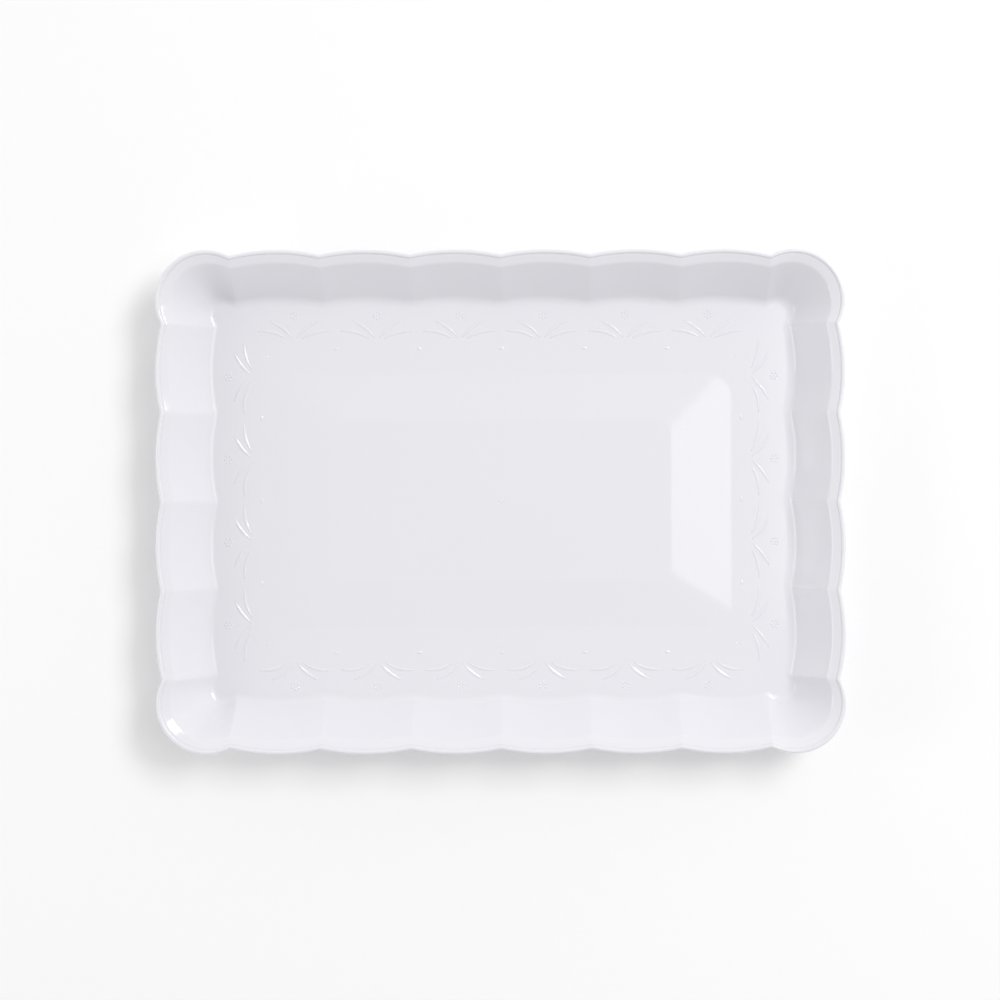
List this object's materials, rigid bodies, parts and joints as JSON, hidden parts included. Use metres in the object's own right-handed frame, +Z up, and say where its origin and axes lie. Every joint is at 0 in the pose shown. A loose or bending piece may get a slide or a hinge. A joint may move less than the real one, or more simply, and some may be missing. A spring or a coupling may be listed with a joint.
{
  "type": "scalloped serving platter",
  "caption": "Rectangular serving platter with scalloped fluted walls, a flared beaded rim, a low foot ring, a shallow bevelled panel raised in the floor and an embossed border of flower sprigs round it.",
  "frame": {"origin": "centre of the platter on the plane of its foot ring, where it meets the table", "axes": "+X along the platter's length, +Y along its width, +Z up out of the open side"},
  "size_m": [0.35, 0.256, 0.03],
  "materials": {
    "white_gloss": "gloss"
  },
  "bodies": {
    "root": {"well_floor": "white_gloss", "raised_panel": "white_gloss", "side_wall": "white_gloss", "rim_flange": "white_gloss", "foot_ring": "white_gloss", "flower_relief": "white_gloss", "leaf_relief": "white_gloss", "seed_relief": "white_gloss", "gate_mark": "white_gloss"}
  },
  "joints": []
}
